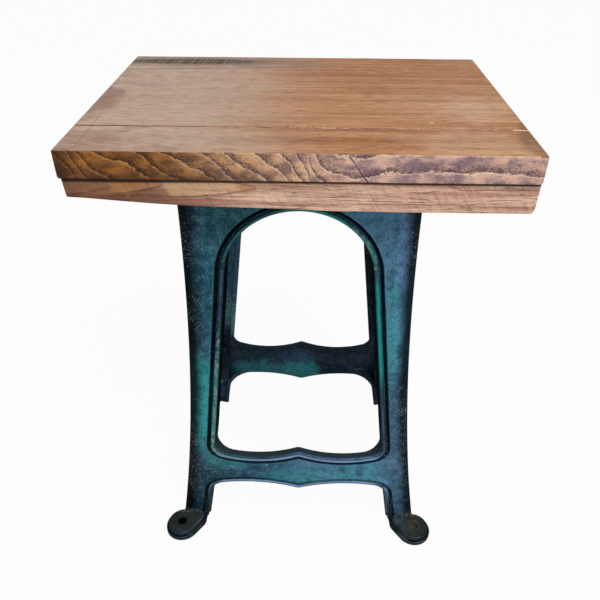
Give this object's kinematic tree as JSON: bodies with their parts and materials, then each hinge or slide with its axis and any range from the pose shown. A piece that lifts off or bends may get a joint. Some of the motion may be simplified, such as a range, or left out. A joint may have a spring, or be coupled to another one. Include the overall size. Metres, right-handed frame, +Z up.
{
  "type": "sewing table",
  "caption": "Square-standing small table: two layers of reclaimed planks on a painted cast-iron stand of two arched frames with wavy stretchers and bolt-down lug feet.",
  "frame": {"origin": "on the floor under the middle of the table top", "axes": "+Z up, front of the table towards -Y, long side of the top along X"},
  "size_m": [0.56, 0.416, 0.74],
  "materials": {
    "top_planks": "oiled satin",
    "under_planks": "oiled satin, sawn",
    "stand_iron": "worn dark teal paint on sandy castings",
    "fixings": "dulled steel"
  },
  "bodies": {
    "root": {"front_frame": "stand_iron", "rear_frame": "stand_iron", "left_side_stretcher": "stand_iron", "right_side_stretcher": "stand_iron", "left_side_rail": "stand_iron", "right_side_rail": "stand_iron", "top_board_rear": "top_planks", "top_board_middle": "top_planks", "top_board_front": "top_planks", "under_board_rear": "under_planks", "under_board_middle": "under_planks", "under_board_front": "under_planks", "stretcher_bolts": "fixings", "rail_bolts": "fixings", "frame_coach_screws": "fixings", "rail_coach_screws": "fixings"}
  },
  "joints": []
}
